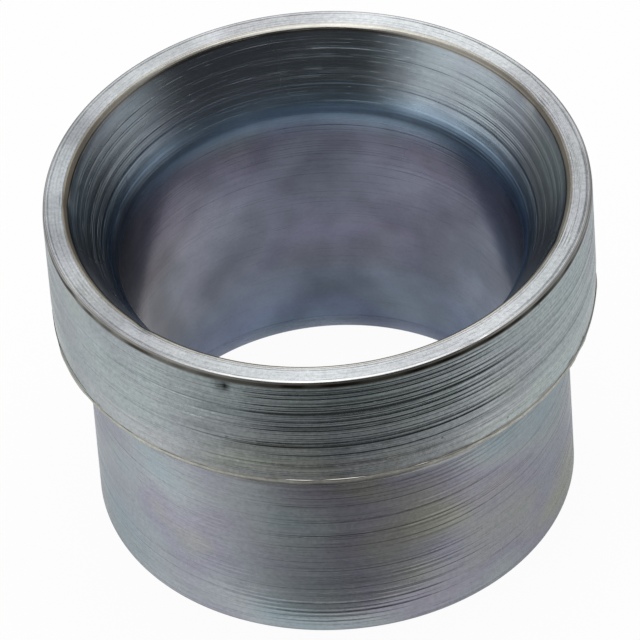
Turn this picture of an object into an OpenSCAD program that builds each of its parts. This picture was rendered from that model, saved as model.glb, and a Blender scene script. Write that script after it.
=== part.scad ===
// Turned tube ferrule: one steel sleeve with a wide head, a conical mouth and a plain through bore.
// Sizes are in millimetres. The axis is Z, the narrow end stands on Z = 0 and the mouth opens upwards.

/* [Tube] */
// Outside diameter of the tube that runs through the sleeve
tube_d = 12.7; // [12:0.1:13]
// Play between the tube and the bore, on the diameter
tube_clearance = 0.12; // [0.05:0.01:0.2]

/* [Head] */
// Diameter over the head
head_d = 17.3; // [17:0.1:19]
// Length of the head's straight outside wall, from the rim face to the shoulder
head_len = 4.35; // [3:0.05:5]
// Width of the flat rim face between the head's outside wall and the mouth
rim_w = 0.75; // [0.5:0.05:1]
// Radius worn on the rim's outer edge
rim_edge_r = 0.1; // [0.05:0.01:0.2]
// Radius on the rim's inner edge
rim_inner_r = 0.2; // [0.05:0.01:0.3]

/* [Mouth] */
// Angle between the mouth's wall and the axis
mouth_angle = 33; // [30:1:45]
// Radius of the blend where the mouth runs into the bore
mouth_blend_r = 0.8; // [0.4:0.1:1.5]

/* [Shoulder] */
// Angle between the shoulder under the head and the axis
shoulder_angle = 45; // [40:1:60]
// Radius on the head's lower edge
shoulder_edge_r = 0.1; // [0.05:0.01:0.15]
// Radius left by the tool's nose where the shoulder meets the body
shoulder_root_r = 0.3; // [0.2:0.05:0.5]

/* [Body] */
// Diameter of the narrow body
body_d = 15.3; // [14.5:0.1:16]
// Length of the whole sleeve
sleeve_len = 11.85; // [10:0.05:14]
// Radius on the outer edge of the narrow end
end_edge_r = 0.08; // [0.05:0.01:0.3]
// Radius on the bore's edge at the narrow end
end_bore_r = 0.06; // [0.05:0.01:0.2]

/* [Hidden] */

$fn = 180;

bore_r = (tube_d + tube_clearance) / 2;
body_r = body_d / 2;
head_r = head_d / 2;
mouth_r = head_r - rim_w;
mouth_z = sleeve_len - (mouth_r - bore_r) / tan(mouth_angle);
head_z = sleeve_len - head_len;
root_z = head_z - (head_r - body_r) / tan(shoulder_angle);

// Corners of the half section as [radius, height], counter-clockwise from the bore's lower edge
corners = [
    [bore_r, 0],
    [body_r, 0],
    [body_r, root_z],
    [head_r, head_z],
    [head_r, sleeve_len],
    [mouth_r, sleeve_len],
    [bore_r, mouth_z],
];

// Radius at each corner, in the same order
corner_r = [
    end_bore_r,
    end_edge_r,
    shoulder_root_r,
    shoulder_edge_r,
    rim_edge_r,
    rim_inner_r,
    mouth_blend_r,
];

// The only inside corner, where the shoulder meets the body
root = 2;

function unit(v) = v / norm(v);

// What lies between corner i and the arc that rounds it, drawn on past the corner for a clean cut or join
module corner_web(i) {
    count = len(corners);
    here = corners[i];
    back = unit(corners[(i + count - 1) % count] - here);
    ahead = unit(corners[(i + 1) % count] - here);
    inward = unit(back + ahead);
    half = acos(back * ahead) / 2;
    run = corner_r[i] / tan(half);
    difference() {
        polygon([here - inward * corner_r[i], here + back * run, here + ahead * run]);
        translate(here + inward * corner_r[i] / sin(half)) circle(r = corner_r[i]);
    }
}

module half_section() {
    difference() {
        polygon(corners);
        for (i = [0 : len(corners) - 1])
            if (i != root) corner_web(i);
    }
    corner_web(root);
}

module ferrule() {
    color([0.62, 0.64, 0.66])
        rotate_extrude() half_section();
}

ferrule();
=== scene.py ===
import math
import random

import bpy
from mathutils import Matrix, Vector


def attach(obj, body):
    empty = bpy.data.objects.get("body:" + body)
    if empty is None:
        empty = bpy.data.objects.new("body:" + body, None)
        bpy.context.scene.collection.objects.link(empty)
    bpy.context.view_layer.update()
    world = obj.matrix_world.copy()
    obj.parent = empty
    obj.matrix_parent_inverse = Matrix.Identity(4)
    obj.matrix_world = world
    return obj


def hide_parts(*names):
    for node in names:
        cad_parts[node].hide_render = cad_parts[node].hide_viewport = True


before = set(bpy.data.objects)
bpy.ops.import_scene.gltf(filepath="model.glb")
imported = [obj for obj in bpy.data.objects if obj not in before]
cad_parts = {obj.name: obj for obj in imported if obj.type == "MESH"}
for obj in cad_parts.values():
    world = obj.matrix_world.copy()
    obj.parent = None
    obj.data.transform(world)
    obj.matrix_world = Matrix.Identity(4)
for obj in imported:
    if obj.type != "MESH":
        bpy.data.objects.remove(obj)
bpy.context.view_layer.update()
scene = bpy.context.scene
scene.view_settings.view_transform = "Standard"
mm = 0.001
print("frame loaded:", sorted(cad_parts))


def hexColour(code):
    # sRGB hex to the linear values that the shader sockets take
    parts = [int(code[i:i + 2], 16) / 255 for i in (1, 3, 5)]
    linear = [p / 12.92 if p <= 0.04045 else ((p + 0.055) / 1.055) ** 2.4 for p in parts]
    return (*linear, 1)


def addNode(tree, kind, settings=None, inputs=None):
    # settings are the node's own properties; an input is a plain value or another node's output socket
    node = tree.nodes.new(kind)
    for name, value in (settings or {}).items():
        setattr(node, name, value)
    for name, value in (inputs or {}).items():
        if isinstance(value, bpy.types.NodeSocket):
            tree.links.new(value, node.inputs[name])
        else:
            node.inputs[name].default_value = value
    return node


def spanInputs(span):
    # the two sockets of a Map Range node that say where it starts and ends
    return {"From Min": span[0], "From Max": span[1]}


# The solid's sizes: radii and heights in mm, the mouth's angle to the axis in degrees
bore, body, head, mouth = 6.41, 7.65, 8.65, 7.9
bodyTop, headFoot, top = 6.5, 7.5, 11.85
mouthAngle = 33
mouthFoot = top - (mouth - bore) / math.tan(math.radians(mouthAngle))

# places on the section that knocks have hit
innerEdge = (mouth, top)
outerEdge = (head - 0.02, top - 0.03)
pitSpot = (head, top - 0.49)

# tones and fillings that more than one stretch has
burrStain = [(-10, "#E2E4E2"), (190, "#E2E6E6")]
# a warm tone at the bore's left, and painted shade at its back
boreStainAndShade = [(190, "#FDE4C8"), (90, "#BBBCC0")]
sideFill = [(195, 0.6), (-8, 0.45)]

# Turned sleeve, lengths in mm. Every mark is cut inward from the solid's surface
sleeve = {
    # what a stretch has unless it says otherwise
    "usual": {
        "round": 0.0, "steps": 0,   # radius of the corner that it starts at, and the steps of its arc
        "depth": 0.0,               # of the feed marks; pitch is their length for one turn
        "grain": 0.03,              # how strongly the plate's grain shows, as comb is for the fine lines
        "tint": 0.0,                # how strongly the rainbow tints show over plate, which is the grey
        "stainAndShade": [],                # azimuths in degrees where the grey has another tone, and the tone there; on the body, rim, lip and mouth, and at the bore's back, that tone is painted shade
        "edgeShade": [],            # the same for the corner's own grey, which is edge and runs out by spread; in the bore that tone is painted shade
        "fill": [],                 # azimuths where the plate fills the marks, and by what share
        "ragged": 0.0,              # what wear takes off here and there; patchy is the grey that it leaves
    },
    # counter-clockwise round the half section: each stretch starts at its corner and runs to the next one
    "stretches": {
        "end": {
            "at": (bore, 0.0), "round": 0.06, "steps": 3, "pitch": 0.4, "depth": 0.004,
            "comb": 0.1, "rough": 0.3, "tint": 0.5, "plate": "#90949A",
        },
        "body": {
            "at": (body, 0.0), "round": 0.08, "steps": 3, "pitch": 0.18, "depth": 0.011,
            "comb": 0.27, "rough": 0.2, "grain": 0.06, "tint": 1.0, "plate": "#B3BABF",
            # painted shade: the body's grey is darker towards the front right, where its mirror shows the
            # darker room
            "stainAndShade": [(-42, "#E3E3E3")],
        },
        "shoulder": {
            "at": (body, bodyTop), "round": 0.3, "steps": 3, "pitch": 0.3, "depth": 0.004,
            "comb": 0.4, "rough": 0.25, "tint": 0.4, "plate": "#ABABA6",
        },
        "burr": {
            "at": (head, headFoot), "round": 0.1, "steps": 3, "pitch": 0.2, "ragged": 0.03,
            # partly painted highlight: the burr's pale grey stands in for the bright line along the head's
            # foot, over the burr's own speckled grey
            "comb": 0.25, "rough": 0.3, "grain": 0.15, "plate": "#D2D0C8", "edge": "#C2C1B9",
            "stainAndShade": burrStain,
        },
        "ledge": {
            "at": (head, headFoot + 0.16), "pitch": 0.2, "ragged": 0.03,
            "comb": 0.3, "rough": 0.25, "plate": "#B9B7AF", "stainAndShade": burrStain,
        },
        "lowBand": {
            "at": (head - 0.038, headFoot + 0.18), "pitch": 0.17, "depth": 0.018,
            "comb": 0.5, "rough": 0.15, "grain": 0.09, "tint": 0.5, "plate": "#B8C0BF", "fill": sideFill,
        },
        "head": {
            "at": (head, headFoot + 1.01), "pitch": 0.175, "depth": 0.034,
            "comb": 0.55, "rough": 0.12, "grain": 0.09, "tint": 0.4, "plate": "#ADB6B7", "fill": sideFill,
        },
        "upperHead": {
            "at": (head, headFoot + 2.6), "pitch": 0.175, "depth": 0.047,
            "comb": 0.6, "rough": 0.12, "grain": 0.09, "tint": 0.4, "plate": "#AAB4B5",
            "fill": [(195, 0.7), (-8, 0.55)],
        },
        "lip": {
            "at": (head, top - 0.23), "pitch": 0.2,
            # painted shade: the lip's near-black grey, darkest at the front right, stands in for the dark
            # room mirrored in this narrow band
            "comb": 0.2, "rough": 0.26, "plate": "#3A342A", "patchy": "#7C7A73",
            "stainAndShade": [(-62, "#A8A49C")],
        },
        "bevel": {
            "at": (head - 0.02, top - 0.027), "round": 0.05, "steps": 4, "pitch": 0.2,
            "comb": 0.1, "rough": 0.2, "plate": "#C6C7C6",
        },
        "rim": {
            "at": (head - 0.09, top), "round": 0.04, "steps": 2, "pitch": 0.1, "depth": 0.005,
            "comb": 0.25, "rough": 0.2, "grain": 0.08, "tint": 0.2, "plate": "#A9ACAE",
            # painted shade: the rim's grey is darker to the left and a little to the right, where it shows
            # less of the lamps
            "stainAndShade": [(180, "#CED0D2"), (0, "#EBECED")], "fill": [(185, 0.6), (90, 0.4)],
        },
        "innerLip": {
            "at": innerEdge, "round": 0.2, "steps": 5, "pitch": 0.2,
            "comb": 0.1, "rough": 0.25, "plate": "#86837C", "edge": "#B4B2AB",
            "stainAndShade": [(180, "#98928A"), (10, "#B4B0AA")],
        },
        "mouth": {
            "at": (mouth - 0.093, top - 0.143), "pitch": 0.33, "depth": 0.008,
            # painted shade: the mouth's grey is darker towards the back left, over the reflection of the left
            # lamp
            "comb": 0.22, "rough": 0.28, "tint": 0.5, "plate": "#A6B0B7", "stainAndShade": [(120, "#E4E6E8")],
        },
        # painted shade and reflection: the bore's greys are darker than the outside's for the shade inside
        # it, darker still at its back, and its corner bands carry painted dark reflections at the left and
        # right
        "bore": {
            "at": (bore, mouthFoot), "round": 0.8, "steps": 6, "pitch": 1.0, "depth": 0.001,
            "comb": 0.1, "rough": 0.26, "tint": 0.7, "plate": "#999DAD", "stainAndShade": boreStainAndShade,
            "edge": "#AEC9DF", "edgeRough": 0.37, "spread": 1.0,
            "edgeShade": [(188, "#858CA4"), (-8, "#8890A6")],
        },
        "lowBore": {
            "at": (bore, 2.4), "pitch": 1.0, "depth": 0.001,
            "comb": 0.1, "rough": 0.26, "tint": 0.7, "plate": "#8D9EB4", "stainAndShade": boreStainAndShade,
            "edge": "#919BAC", "spread": 2.2,
        },
    },
    # one feed mark: a steep flank down from the ridge, then a long rise; share of a turn, share of the depth
    "saw": [(0.0, 0.0), (0.16, 0.5), (0.33, 1.0), (0.65, 0.5)],
    "usualMark": (0.35, 1.0),   # least and most of a mark's depth
    "deepMark": (1.05, 1.25),
    "deepShare": 0.16,          # how many of the marks are deep ones
    "wander": 0.16,             # how far a ridge strays, in turns
    "wearWaves": (3, 7, 11, 16, 23, 31, 42, 57),   # times round the edge that wear comes and goes
    "wearSwing": 0.25,          # how much each of them counts
    "segments": 224,
    "seed": 12,
    # knocks in the rim's edges and one pit in the wall: azimuth in degrees, place, width, depth, darkness;
    # the pit's darkness is painted shade in its hollow
    "knocks": [
        (176, innerEdge, 0.6, 0.05, 0.0), (224, innerEdge, 0.5, 0.05, 0.0),
        (26, innerEdge, 0.6, 0.04, 0.0), (338, innerEdge, 0.7, 0.04, 0.0),
        (205, outerEdge, 0.7, 0.03, 0.0), (302, outerEdge, 0.5, 0.03, 0.0),
        (247.5, pitSpot, 0.38, 0.06, 1.0),
    ],
}


def roundedCorner(before, here, after, radius, steps):
    # points of the arc that rounds a corner, or the sharp corner itself
    if radius == 0:
        return [here]
    back = (before - here).normalized()
    ahead = (after - here).normalized()
    half = math.acos(max(-1, min(1, back.dot(ahead)))) / 2
    centre = here + (back + ahead).normalized() * radius / math.sin(half)
    start = here + back * radius / math.tan(half) - centre
    side = 1 if back.y * ahead.x - back.x * ahead.y > 0 else -1
    turn = side * (math.pi - 2 * half) / steps
    points = []
    for k in range(steps + 1):
        c, s = math.cos(turn * k), math.sin(turn * k)
        points.append(centre + Vector((start.x * c - start.y * s, start.x * s + start.y * c)))
    return points


def stainAndShadeTones(stains, share):
    return [(azimuth, hexColour(code), share) for azimuth, code in stains]


def wallFinish(stretch):
    return {
        "comb": stretch["comb"], "rough": stretch["rough"], "grain": stretch["grain"],
        "plate": hexColour(stretch["plate"])[:3] + (stretch["tint"],),
        "patchy": hexColour(stretch.get("patchy", stretch["plate"]))[:3],
        "stainAndShade": stainAndShadeTones(stretch["stainAndShade"], 1.0), "fill": stretch["fill"], "ragged": stretch["ragged"],
    }


def cornerFinish(stretch, last, grain):
    # halfway between the two walls, or the corner's own grey: worn at the burr and the inner lip, painted
    # reflection and shade in the bore
    here, there = wallFinish(stretch), wallFinish(last)
    finish = {**here, "grain": grain, "fill": []}
    finish["comb"] = 0.5 * (here["comb"] + there["comb"])
    finish["rough"] = 0.5 * (here["rough"] + there["rough"])
    finish["plate"] = [0.5 * (u + v) for u, v in zip(here["plate"], there["plate"])]
    if "edge" in stretch:
        finish["plate"] = hexColour(stretch["edge"])[:3] + (0.0,)
        finish["rough"] = stretch.get("edgeRough", finish["rough"])
    finish["patchy"] = finish["plate"][:3]
    return finish


def feedMarks(start, stop, stretch, spec, dice):
    # place and cut of each ring that the feed marks need
    turns = max(1, round((stop - start).length / stretch["pitch"]))
    deeps = []
    for _ in range(turns):
        usual = dice.random() > spec["deepShare"]
        deeps.append(dice.uniform(*spec["usualMark"]) if usual else dice.uniform(*spec["deepMark"]))
    ridges = [(k + dice.uniform(-spec["wander"], spec["wander"])) / turns for k in range(1, turns)]
    ridges = [0.0, *ridges, 1.0]
    marks = []
    for k in range(turns):
        for t, deep in spec["saw"]:
            if k + t > 0:
                along = ridges[k] + (ridges[k + 1] - ridges[k]) * t
                marks.append((start.lerp(stop, along), stretch["depth"] * deeps[k] * deep))
    return marks


def spreadEdge(rings, arc, stretch):
    # the corner's grey, painted reflection and shade in the bore, runs out along the walls on both sides
    edge = hexColour(stretch["edge"])[:3] + (0.0,)
    for ring in rings:
        away = min((ring["at"] - p).length for p in arc) / stretch["spread"]
        share = max(0.0, 1 - away) ** 2
        for name in ("plate", "patchy"):
            ring[name] = [u * share + v * (1 - share) for u, v in zip(edge, ring[name])]
        ring["stainAndShade"] = ring["stainAndShade"] + stainAndShadeTones(stretch["edgeShade"], share)


def sectionRings(spec):
    # one dictionary per ring of the sleeve: place, way into the metal, cut and finish
    dice = random.Random(spec["seed"])
    stretches = [{**spec["usual"], **own} for own in spec["stretches"].values()]
    count = len(stretches)
    spots = [Vector(stretch["at"]) for stretch in stretches]
    arcs = [roundedCorner(spots[i - 1], spots[i], spots[(i + 1) % count], stretch["round"], stretch["steps"])
            for i, stretch in enumerate(stretches)]
    rings = []
    for i, stretch in enumerate(stretches):
        worn = cornerFinish(stretch, stretches[i - 1], spec["usual"]["grain"])
        rings += [{"at": p, "cut": 0.0, **worn} for p in arcs[i]]
        finish = wallFinish(stretch)
        for p, cut in feedMarks(arcs[i][-1], arcs[(i + 1) % count][0], stretch, spec, dice):
            rings.append({"at": p, "cut": cut, **finish})
    for arc, stretch in zip(arcs, stretches):
        if "spread" in stretch:
            spreadEdge(rings, arc, stretch)
    toolPath = 0.0   # mm along the section, which the tool lines are counted by
    for j, ring in enumerate(rings):
        ahead = rings[(j + 1) % len(rings)]["at"] - rings[j - 1]["at"]
        ring["inward"] = Vector((-ahead.y, ahead.x)).normalized()
        if j > 0:
            toolPath += (ring["at"] - rings[j - 1]["at"]).length
        ring["toolPath"] = toolPath
    return rings


def edgeWear(spec, angles):
    # wear that comes and goes round the sleeve, 0 to 1
    dice = random.Random(spec["seed"] + 1)
    waves = [(k, dice.uniform(0, 2 * math.pi)) for k in spec["wearWaves"]]
    swing = [sum(math.sin(k * angle + phase) for k, phase in waves) for angle in angles]
    return [min(1, max(0, 0.5 + spec["wearSwing"] * s)) for s in swing]


def facing(angle, azimuth):
    # 1 straight at that azimuth, falling to 0 at a right angle to it
    return max(0.0, math.cos(angle - math.radians(azimuth))) ** 2


def turnedSleeve(spec):
    rings = sectionRings(spec)
    n = spec["segments"]
    angles = [2 * math.pi * i / n for i in range(n)]
    wear = edgeWear(spec, angles)
    verts, combs, colours = [], [], []
    for ring in rings:
        for angle, worn in zip(angles, wear):
            unfilled = 1 - sum(share * facing(angle, azimuth) for azimuth, share in ring["fill"])
            cut = ring["cut"] * unfilled + ring["ragged"] * worn
            light = 1.0
            for azimuth, spot, width, depth, dark in spec["knocks"]:
                turn = (angle - math.radians(azimuth) + math.pi) % (2 * math.pi) - math.pi
                away = math.hypot(turn * spot[0], (ring["at"] - Vector(spot)).length)
                hollow = math.exp(-(away / (0.5 * width)) ** 2)
                cut += depth * hollow
                # painted shade in the knock's hollow, by its darkness
                light *= 1 - dark * hollow
            p = ring["at"] + ring["inward"] * cut
            verts.append((p.x * math.cos(angle) * mm, p.x * math.sin(angle) * mm, p.y * mm))
            combs.append(ring["comb"] * unfilled)
            tone = [(u + (v - u) * worn) * light for u, v in zip(ring["plate"], ring["patchy"])]
            for azimuth, stainAndShade, share in ring["stainAndShade"]:
                amount = share * facing(angle, azimuth)
                tone = [v * (1 + (s - 1) * amount) for v, s in zip(tone, stainAndShade)]
            colours += [*tone, ring["plate"][3]]
    faces = []
    for j in range(len(rings)):
        k = (j + 1) % len(rings)
        for i in range(n):
            m = (i + 1) % n
            faces.append((j * n + i, j * n + m, k * n + m, k * n + i))
    mesh = bpy.data.meshes.new("turnedSleeve")
    mesh.from_pydata(verts, [], faces)
    layers = {name: [ring[name] for ring in rings for _ in angles] for name in ("toolPath", "rough", "grain")}
    layers["comb"] = combs
    for name, values in layers.items():
        mesh.attributes.new(name, "FLOAT", "POINT").data.foreach_set("value", values)
    mesh.attributes.new("plate", "FLOAT_COLOR", "POINT").data.foreach_set("color", colours)
    mesh.polygons.foreach_set("use_smooth", [True] * len(faces))
    mesh.update()
    piece = bpy.data.objects.new("turnedSleeve", mesh)
    scene.collection.objects.link(piece)
    return piece


ferrule = turnedSleeve(sleeve)
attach(ferrule, "root")
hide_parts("ferrule")
print("sleeve turned:", len(ferrule.data.vertices), "points,", 2 * len(ferrule.data.polygons), "triangles")

# Zinc plate on turned steel, clear passivate: a grey mirror combed by the feed marks, with faint rainbow
# patches. The plate's grey comes with the mesh, stretch by stretch, and holds the painted shade and highlight
# noted there; these tints lie over it
zinc = {
    "tints": [(0.32, "#E9F5F7"), (0.45, "#F6F6F6"), (0.56, "#EBE1ED"), (0.68, "#F4EDDB")],
    "grazing": "#D4D6D8",   # how much of the shine is left at a grazing look
    "brushed": 0.5,         # how far the tool lines stretch a reflection
    # sizes in mm
    "fineLine": 0.075,      # between the finest tool lines; the real ones are nearer 0.02 and would not show
    "groove": 0.11,         # between the deeper scores
    "fade": 4.5455,         # along a ring before the lines fade
    "dash": 0.9,            # along a ring before a line breaks
    "grain": 0.13,          # across a grain of the plating; the real ones are finer and would not show
    "patch": 6.0,           # across a rainbow patch
    "cloud": 2.6,           # across a cloud on the smooth walls
    "smudge": (3.0, 0.5),   # along and across a smudge
    "pit": 0.1,             # across a pit
    "pitCell": 1.6,         # between pits
    "relief": 0.08,         # height of the fine lines at their strongest
    # heights against the fine lines
    "scoreHeight": -0.35, "grainHeight": 0.3,
    # how much darker, or darker and lighter, each makes the plate; a score's darkness is painted shade in it
    "scorePaintedShade": 0.15, "smudgeShade": 0.2, "pitShade": 0.6, "grainShade": 1.3, "cloudShade": 0.24,
    "uneven": 0.2,          # how much the roughness changes from patch to patch
    "patchFlat": 1.4,       # how much flatter than long a patch is
    "ringShift": 9.0,       # keeps neighbouring rings from fading together
    "faintest": 0.2,        # what is left of a line where it fades
    "thinnest": 0.5,        # and where it breaks
    # from and to which value of its noise each of them shows; a pit's is a share of its size
    "scoreSpan": (0.3, 0.44), "fadeSpan": (0.35, 0.65), "dashSpan": (0.38, 0.6), "grainSpan": (0.3, 0.7),
    "patchSpan": (0.3, 0.7), "smudgeSpan": (0.55, 0.72), "pitSpan": (0.3, 0.6), "cloudSpan": (0.35, 0.65),
    # over which strength of the fine lines smudges and pits come in, and clouds go
    "markedSpan": (0.2, 0.4), "clearSpan": (0.1, 0.3),
}


def zincMaterial(spec):
    material = bpy.data.materials.new("zincPlatedSteelTurned")
    material.use_nodes = True
    tree = material.node_tree
    tree.nodes.clear()
    place = addNode(tree, "ShaderNodeTexCoord")
    inMm = addNode(tree, "ShaderNodeVectorMath", {"operation": "SCALE"},
                   {"Vector": place.outputs["Object"], "Scale": 1 / mm})
    axes = addNode(tree, "ShaderNodeSeparateXYZ", None, {"Vector": inMm.outputs["Vector"]})
    path = addNode(tree, "ShaderNodeAttribute", {"attribute_name": "toolPath"})
    comb = addNode(tree, "ShaderNodeAttribute", {"attribute_name": "comb"})
    grain = addNode(tree, "ShaderNodeAttribute", {"attribute_name": "grain"})
    finish = addNode(tree, "ShaderNodeAttribute", {"attribute_name": "rough"})
    plate = addNode(tree, "ShaderNodeAttribute", {"attribute_name": "plate"})

    # fine tool lines and deeper scores, both in rings right round the sleeve
    linePlace = addNode(tree, "ShaderNodeMath", {"operation": "DIVIDE"},
                        {0: path.outputs["Fac"], 1: 2 * spec["fineLine"]})
    lines = addNode(tree, "ShaderNodeTexNoise", {"noise_dimensions": "1D"},
                    {"W": linePlace.outputs["Value"], "Scale": 1.0, "Detail": 2.0, "Roughness": 0.7})
    scorePlace = addNode(tree, "ShaderNodeMath", {"operation": "DIVIDE"},
                         {0: path.outputs["Fac"], 1: spec["groove"]})
    scoreNoise = addNode(tree, "ShaderNodeTexNoise", {"noise_dimensions": "1D"},
                         {"W": scorePlace.outputs["Value"], "Scale": 1.0, "Detail": 1.0, "Roughness": 0.5})
    scores = addNode(tree, "ShaderNodeMapRange", {"interpolation_type": "SMOOTHSTEP"},
                     {"Value": scoreNoise.outputs["Fac"], **spanInputs(spec["scoreSpan"]),
                      "To Min": 1.0, "To Max": 0.0})

    # both fade and break along their rings
    ringOf = addNode(tree, "ShaderNodeMath", {"operation": "SNAP"},
                     {0: path.outputs["Fac"], 1: spec["groove"]})
    ringPlace = addNode(tree, "ShaderNodeCombineXYZ", None,
                        {"X": axes.outputs["X"], "Y": axes.outputs["Y"], "Z": ringOf.outputs["Value"]})
    fadePlace = addNode(tree, "ShaderNodeVectorMath", {"operation": "MULTIPLY"},
                        {0: ringPlace.outputs["Vector"],
                         1: (1 / spec["fade"], 1 / spec["fade"], spec["ringShift"])})
    fadeNoise = addNode(tree, "ShaderNodeTexNoise", None,
                        {"Vector": fadePlace.outputs["Vector"], "Scale": 1.0, "Detail": 2.0})
    faded = addNode(tree, "ShaderNodeMapRange", None,
                    {"Value": fadeNoise.outputs["Fac"], **spanInputs(spec["fadeSpan"]),
                     "To Min": spec["faintest"], "To Max": 1.0})
    dashPlace = addNode(tree, "ShaderNodeVectorMath", {"operation": "MULTIPLY"},
                        {0: ringPlace.outputs["Vector"],
                         1: (1 / spec["dash"], 1 / spec["dash"], spec["ringShift"])})
    dashNoise = addNode(tree, "ShaderNodeTexNoise", None,
                        {"Vector": dashPlace.outputs["Vector"], "Scale": 1.0, "Detail": 1.0})
    broken = addNode(tree, "ShaderNodeMapRange", None,
                     {"Value": dashNoise.outputs["Fac"], **spanInputs(spec["dashSpan"]),
                      "To Min": spec["thinnest"], "To Max": 1.0})
    amount = addNode(tree, "ShaderNodeMath", {"operation": "MULTIPLY"},
                     {0: faded.outputs["Result"], 1: broken.outputs["Result"]})
    depth = addNode(tree, "ShaderNodeMath", {"operation": "MULTIPLY"},
                    {0: amount.outputs["Value"], 1: comb.outputs["Fac"]})
    scoreDepth = addNode(tree, "ShaderNodeMath", {"operation": "MULTIPLY"},
                         {0: scores.outputs["Result"], 1: depth.outputs["Value"]})
    lineHeight = addNode(tree, "ShaderNodeMath", {"operation": "MULTIPLY"},
                         {0: lines.outputs["Fac"], 1: depth.outputs["Value"]})
    scored = addNode(tree, "ShaderNodeMath", {"operation": "MULTIPLY_ADD"},
                     {0: scoreDepth.outputs["Value"], 1: spec["scoreHeight"], 2: lineHeight.outputs["Value"]})

    # grain of the plating, in the relief and in the grey
    speckle = addNode(tree, "ShaderNodeTexNoise", None,
                      {"Vector": inMm.outputs["Vector"], "Scale": 1 / spec["grain"], "Detail": 2.5})
    grainHeight = addNode(tree, "ShaderNodeMath", {"operation": "MULTIPLY"},
                          {0: grain.outputs["Fac"], 1: spec["grainHeight"]})
    height = addNode(tree, "ShaderNodeMath", {"operation": "MULTIPLY_ADD"},
                     {0: speckle.outputs["Fac"], 1: grainHeight.outputs["Value"], 2: scored.outputs["Value"]})
    relief = addNode(tree, "ShaderNodeBump", None,
                     {"Height": height.outputs["Value"], "Strength": 1.0, "Distance": spec["relief"] * mm})
    speck = addNode(tree, "ShaderNodeMapRange", None,
                    {"Value": speckle.outputs["Fac"], **spanInputs(spec["grainSpan"]),
                     "To Min": -spec["grainShade"], "To Max": spec["grainShade"]})
    grainShade = addNode(tree, "ShaderNodeMath", {"operation": "MULTIPLY_ADD"},
                         {0: speck.outputs["Result"], 1: grain.outputs["Fac"], 2: 1.0})

    # rainbow patches of the passivate
    flatPlace = addNode(tree, "ShaderNodeVectorMath", {"operation": "MULTIPLY"},
                        {0: inMm.outputs["Vector"], 1: (1.0, 1.0, spec["patchFlat"])})
    patches = addNode(tree, "ShaderNodeTexNoise", None,
                      {"Vector": flatPlace.outputs["Vector"], "Scale": 1 / spec["patch"], "Detail": 2.0})
    rainbow = addNode(tree, "ShaderNodeValToRGB", None, {"Fac": patches.outputs["Fac"]})
    stops = rainbow.color_ramp.elements
    for k, (position, code) in enumerate(spec["tints"]):
        stop = stops[0] if k == 0 else stops.new(position)
        stop.position = position
        stop.color = hexColour(code)
    stops.remove(stops[-1])
    tint = addNode(tree, "ShaderNodeMix", {"data_type": "RGBA"},   # 6 and 7 are its colours, 2 the mixed one
                   {0: plate.outputs["Alpha"], 6: (1, 1, 1, 1), 7: rainbow.outputs["Color"]})
    tinted = addNode(tree, "ShaderNodeVectorMath", {"operation": "MULTIPLY"},
                     {0: plate.outputs["Color"], 1: tint.outputs[2]})
    uneven = addNode(tree, "ShaderNodeMapRange", None,
                     {"Value": patches.outputs["Fac"], **spanInputs(spec["patchSpan"]),
                      "To Min": 1 - spec["uneven"], "To Max": 1 + spec["uneven"]})
    rough = addNode(tree, "ShaderNodeMath", {"operation": "MULTIPLY"},
                    {0: finish.outputs["Fac"], 1: uneven.outputs["Result"]})

    # long smudges along the rings and a few pits, where the tool lines are strong
    along, across = spec["smudge"]
    smudgePlace = addNode(tree, "ShaderNodeVectorMath", {"operation": "DIVIDE"},
                          {0: inMm.outputs["Vector"], 1: (along, along, across)})
    smudgeNoise = addNode(tree, "ShaderNodeTexNoise", None,
                          {"Vector": smudgePlace.outputs["Vector"], "Scale": 1.0, "Detail": 3.0})
    smudges = addNode(tree, "ShaderNodeMapRange", {"interpolation_type": "SMOOTHSTEP"},
                      {"Value": smudgeNoise.outputs["Fac"], **spanInputs(spec["smudgeSpan"])})
    cells = addNode(tree, "ShaderNodeTexVoronoi", None,
                    {"Vector": inMm.outputs["Vector"], "Scale": 1 / spec["pitCell"]})
    pitEdge = [share * spec["pit"] / spec["pitCell"] for share in spec["pitSpan"]]
    pits = addNode(tree, "ShaderNodeMapRange", {"interpolation_type": "SMOOTHSTEP"},
                   {"Value": cells.outputs["Distance"], **spanInputs(pitEdge), "To Min": 1.0, "To Max": 0.0})
    combed = addNode(tree, "ShaderNodeMapRange", None,
                     {"Value": comb.outputs["Fac"], **spanInputs(spec["markedSpan"])})
    smudged = addNode(tree, "ShaderNodeMath", {"operation": "MULTIPLY"},
                      {0: smudges.outputs["Result"], 1: combed.outputs["Result"]})
    pitted = addNode(tree, "ShaderNodeMath", {"operation": "MULTIPLY"},
                     {0: pits.outputs["Result"], 1: combed.outputs["Result"]})
    smudgeShade = addNode(tree, "ShaderNodeMath", {"operation": "MULTIPLY_ADD"},
                          {0: smudged.outputs["Value"], 1: -spec["smudgeShade"], 2: 1.0})
    markShade = addNode(tree, "ShaderNodeMath", {"operation": "MULTIPLY_ADD"},
                        {0: pitted.outputs["Value"], 1: -spec["pitShade"], 2: smudgeShade.outputs["Value"]})

    # soft clouds, where the tool lines are weak
    clouds = addNode(tree, "ShaderNodeTexNoise", None,
                     {"Vector": inMm.outputs["Vector"], "Scale": 1 / spec["cloud"], "Detail": 2.0})
    clouded = addNode(tree, "ShaderNodeMapRange", None,
                      {"Value": clouds.outputs["Fac"], **spanInputs(spec["cloudSpan"]),
                       "To Min": 1 - spec["cloudShade"], "To Max": 1 + spec["cloudShade"]})
    cloudShade = addNode(tree, "ShaderNodeMapRange", None,
                         {"Value": comb.outputs["Fac"], **spanInputs(spec["clearSpan"]),
                          "To Min": clouded.outputs["Result"], "To Max": 1.0})

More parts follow.
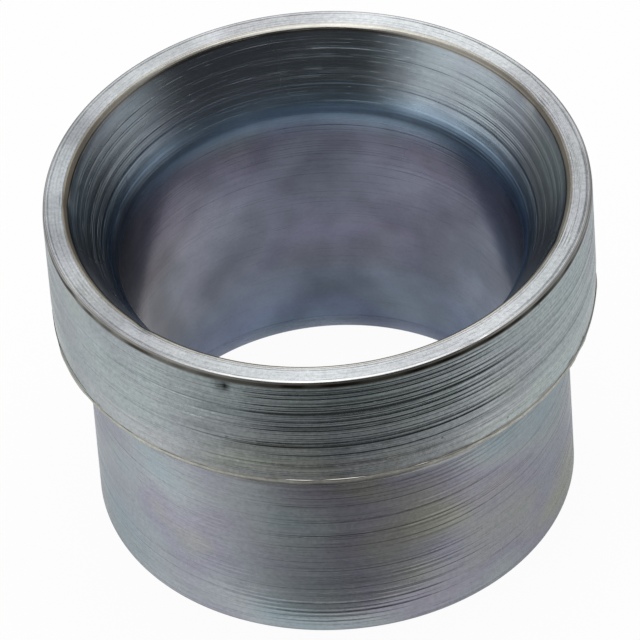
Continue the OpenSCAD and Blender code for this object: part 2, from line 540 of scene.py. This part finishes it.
    # all of them darken or lighten the tinted plate
    # painted shade in the scores: the plate is darker down in them
    shade = addNode(tree, "ShaderNodeMapRange", None,
                    {"Value": scoreDepth.outputs["Value"], "To Min": 1.0, "To Max": 1 - spec["scorePaintedShade"]})
    shaded = shade.outputs["Result"]
    for factor in (markShade.outputs["Value"], grainShade.outputs["Value"], cloudShade.outputs["Result"]):
        shade = addNode(tree, "ShaderNodeMath", {"operation": "MULTIPLY"}, {0: shaded, 1: factor})
        shaded = shade.outputs["Value"]
    colour = addNode(tree, "ShaderNodeVectorMath", {"operation": "SCALE"},
                     {"Vector": tinted.outputs["Vector"], "Scale": shaded})
    tangent = addNode(tree, "ShaderNodeTangent", {"direction_type": "RADIAL", "axis": "Z"})
    metal = addNode(tree, "ShaderNodeBsdfPrincipled", None,
                    {"Base Color": colour.outputs["Vector"], "Metallic": 1.0,
                     "Roughness": rough.outputs["Value"], "Specular Tint": hexColour(spec["grazing"]),
                     "Anisotropic": spec["brushed"], "Anisotropic Rotation": 0.25,
                     "Normal": relief.outputs["Normal"], "Tangent": tangent.outputs["Tangent"]})
    addNode(tree, "ShaderNodeOutputMaterial", None, {"Surface": metal.outputs["BSDF"]})
    return material


ferrule.data.materials.append(zincMaterial(zinc))
print("zinc plate applied")

# Plain white card under the sleeve, lengths in mm. It ends just outside the picture in front and on the
# right, where lean keeps its edge along the picture's, so the metal there mirrors the darker room
card = {
    "white": "#F4F4F4", "reach": 800, "front": -8.3, "lean": 0.11, "right": 13.0,
    "toEye": 0.95, "inMetal": 0.7,   # how far it glows to the eye and in the metal; the rest shows shadow
}


def cardSheet(spec):
    far, right = spec["reach"], spec["right"]
    nearEdge = [(x, spec["front"] - spec["lean"] * x) for x in (-far, right)]
    outline = [*nearEdge, (right, far), (-far, far)]
    mesh = bpy.data.meshes.new("whiteCard")
    mesh.from_pydata([(x * mm, y * mm, 0) for x, y in outline], [], [(0, 1, 2, 3)])
    sheet = bpy.data.objects.new("whiteCard", mesh)
    scene.collection.objects.link(sheet)
    return sheet


def cardMaterial(spec):
    # matt white card: even and without shine
    material = bpy.data.materials.new("mattWhiteCard")
    material.use_nodes = True
    tree = material.node_tree
    tree.nodes.clear()
    rays = addNode(tree, "ShaderNodeLightPath")
    mirrored = addNode(tree, "ShaderNodeMath", {"operation": "MAXIMUM"},
                       {0: rays.outputs["Is Glossy Ray"], 1: rays.outputs["Is Transmission Ray"]})
    metalGlow = addNode(tree, "ShaderNodeMath", {"operation": "MULTIPLY"},
                        {0: mirrored.outputs["Value"], 1: spec["inMetal"]})
    glow = addNode(tree, "ShaderNodeMath", {"operation": "MULTIPLY_ADD"},
                   {0: rays.outputs["Is Camera Ray"], 1: spec["toEye"], 2: metalGlow.outputs["Value"]})
    matt = addNode(tree, "ShaderNodeBsdfDiffuse", None, {"Color": hexColour(spec["white"])})
    white = addNode(tree, "ShaderNodeEmission", None, {"Color": (1, 1, 1, 1), "Strength": 1.0})
    both = addNode(tree, "ShaderNodeMixShader", None,
                   {0: glow.outputs["Value"], 1: matt.outputs["BSDF"], 2: white.outputs["Emission"]})
    addNode(tree, "ShaderNodeOutputMaterial", None, {"Surface": both.outputs["Shader"]})
    return material


whiteCard = cardSheet(card)
whiteCard.data.materials.append(cardMaterial(card))
print("card laid")

# Soft boxes round the card: angles in degrees, reach and size in m, glow is what a mirror shows, 1 is white
softBoxes = {
    "reach": 0.6,
    "height": 6,   # mm, the middle of the sleeve that they face
    "lamps": [
        {"name": "topBox", "azimuth": 90, "elevation": 92, "size": (0.4, 0.6), "glow": 1.6},
        {"name": "backBox", "azimuth": 88, "elevation": 47, "size": (0.15, 0.3), "glow": 1.32},
        {"name": "leftBox", "azimuth": 190, "elevation": 16, "size": (0.66, 0.3), "glow": 0.42},
        {"name": "rightBox", "azimuth": 4, "elevation": 16, "size": (0.32, 0.3), "glow": 0.16},
    ],
}
for lamp in softBoxes["lamps"]:
    a, e = math.radians(lamp["azimuth"]), math.radians(lamp["elevation"])
    way = Vector((math.cos(a) * math.cos(e), math.sin(a) * math.cos(e), math.sin(e)))
    data = bpy.data.lights.new(lamp["name"], "AREA")
    data.shape = "RECTANGLE"
    data.size, data.size_y = lamp["size"]
    data.energy = lamp["glow"] * math.pi * data.size * data.size_y
    box = bpy.data.objects.new(lamp["name"], data)
    box.location = Vector((0, 0, softBoxes["height"])) * mm + way * softBoxes["reach"]
    box.rotation_euler = way.to_track_quat("Z", "Y").to_euler()
    scene.collection.objects.link(box)

# Room, in brightness: two walls, the ceiling, a dark opening behind the camera and what lies below the card.
# A span is in heights of the way looked, from -1 straight down to 1 straight up
room = {
    "left": 0.68, "right": 0.52,
    "ceiling": 0.85, "ceilingSpan": (0.7, 0.95),
    "opening": 0.05, "towards": (0.25, -0.92, 0.3), "halfAngle": 52, "edge": 12,   # angles in degrees
    # degrees from the camera's side, anticlockwise seen from above, and brightness there; white at 180
    "below": [
        (-85, 0.97), (-58, 0.66), (-28, 0.37), (0, 0.26), (30, 0.4), (62, 0.66), (110, 0.87), (150, 0.98),
    ],
    "belowSpan": (-0.55, -0.15),
    "under": 0.35, "underSpan": (-0.95, -0.74),   # what share of that is left straight down
}


def roomLight(spec):
    world = bpy.data.worlds.new("tent")
    world.use_nodes = True
    tree = world.node_tree
    tree.nodes.clear()
    look = addNode(tree, "ShaderNodeTexCoord")
    axes = addNode(tree, "ShaderNodeSeparateXYZ", None, {"Vector": look.outputs["Generated"]})

    # walls, ceiling and the opening
    walls = addNode(tree, "ShaderNodeMapRange", None,
                    {"Value": axes.outputs["X"], **spanInputs((-1.0, 1.0)),
                     "To Min": spec["left"], "To Max": spec["right"]})
    above = addNode(tree, "ShaderNodeMapRange", {"interpolation_type": "SMOOTHSTEP"},
                    {"Value": axes.outputs["Z"], **spanInputs(spec["ceilingSpan"]),
                     "To Min": walls.outputs["Result"], "To Max": spec["ceiling"]})
    toOpening = addNode(tree, "ShaderNodeVectorMath", {"operation": "DOT_PRODUCT"},
                        {0: look.outputs["Generated"], 1: Vector(spec["towards"]).normalized()})
    wide, narrow = spec["halfAngle"] + spec["edge"], spec["halfAngle"] - spec["edge"]
    openingSpan = [math.cos(math.radians(degrees)) for degrees in (wide, narrow)]
    upper = addNode(tree, "ShaderNodeMapRange", {"interpolation_type": "SMOOTHSTEP"},
                    {"Value": toOpening.outputs["Value"], **spanInputs(openingSpan),
                     "To Min": above.outputs["Result"], "To Max": spec["opening"]})

    # below the card's level, by the direction seen from above
    ahead = addNode(tree, "ShaderNodeMath", {"operation": "MULTIPLY"}, {0: axes.outputs["Y"], 1: -1.0})
    angle = addNode(tree, "ShaderNodeMath", {"operation": "ARCTAN2"},
                    {0: axes.outputs["X"], 1: ahead.outputs["Value"]})
    turn = addNode(tree, "ShaderNodeMapRange", None,
                   {"Value": angle.outputs["Value"], **spanInputs((-math.pi, math.pi))})
    fan = addNode(tree, "ShaderNodeValToRGB", None, {"Fac": turn.outputs["Result"]})
    stops = fan.color_ramp.elements
    for k, (degrees, shade) in enumerate(spec["below"]):
        position = 0.5 + degrees / 360
        stop = stops[0] if k == 0 else stops.new(position)
        stop.position = position
        stop.color = (shade, shade, shade, 1)
    under = addNode(tree, "ShaderNodeMapRange", {"interpolation_type": "SMOOTHSTEP"},
                    {"Value": axes.outputs["Z"], **spanInputs(spec["underSpan"]),
                     "To Min": spec["under"], "To Max": 1.0})
    lower = addNode(tree, "ShaderNodeMath", {"operation": "MULTIPLY"},
                    {0: fan.outputs["Color"], 1: under.outputs["Result"]})
    level = addNode(tree, "ShaderNodeMapRange", {"interpolation_type": "SMOOTHSTEP"},
                    {"Value": axes.outputs["Z"], **spanInputs(spec["belowSpan"]),
                     "To Min": lower.outputs["Value"], "To Max": upper.outputs["Result"]})
    air = addNode(tree, "ShaderNodeBackground", None,
                  {"Color": (1, 1, 1, 1), "Strength": level.outputs["Result"]})
    addNode(tree, "ShaderNodeOutputWorld", None, {"Surface": air.outputs["Background"]})
    return world


scene.world = roomLight(room)
print("soft boxes and room set")

# Camera at the photograph's place: long lens, looking down, turned a little on its axis. Lengths in mm and
# angles in degrees; nearest is where its sight starts
view = {
    "target": (-0.205, 0.0, 6.353), "reach": 286.2, "elevation": 43.27, "roll": -4.34,
    "lens": 506.25, "sensor": 36, "nearest": 10,
}


def photoCamera(spec):
    elevation, roll = math.radians(spec["elevation"]), math.radians(spec["roll"])
    back = Vector((0, -math.cos(elevation), math.sin(elevation)))
    level = Vector((1, 0, 0))
    steep = back.cross(level)
    right = level * math.cos(roll) + steep * math.sin(roll)
    up = steep * math.cos(roll) - level * math.sin(roll)
    spot = Vector(spec["target"]) * mm + back * spec["reach"] * mm
    data = bpy.data.cameras.new("photoCamera")
    data.sensor_width = spec["sensor"]
    data.lens = spec["lens"]
    data.clip_start = spec["nearest"] * mm
    camera = bpy.data.objects.new("photoCamera", data)
    camera.matrix_world = Matrix((
        (right.x, up.x, back.x, spot.x),
        (right.y, up.y, back.y, spot.y),
        (right.z, up.z, back.z, spot.z),
        (0, 0, 0, 1),
    ))
    scene.collection.objects.link(camera)
    return camera


scene.camera = photoCamera(view)
print("camera set")
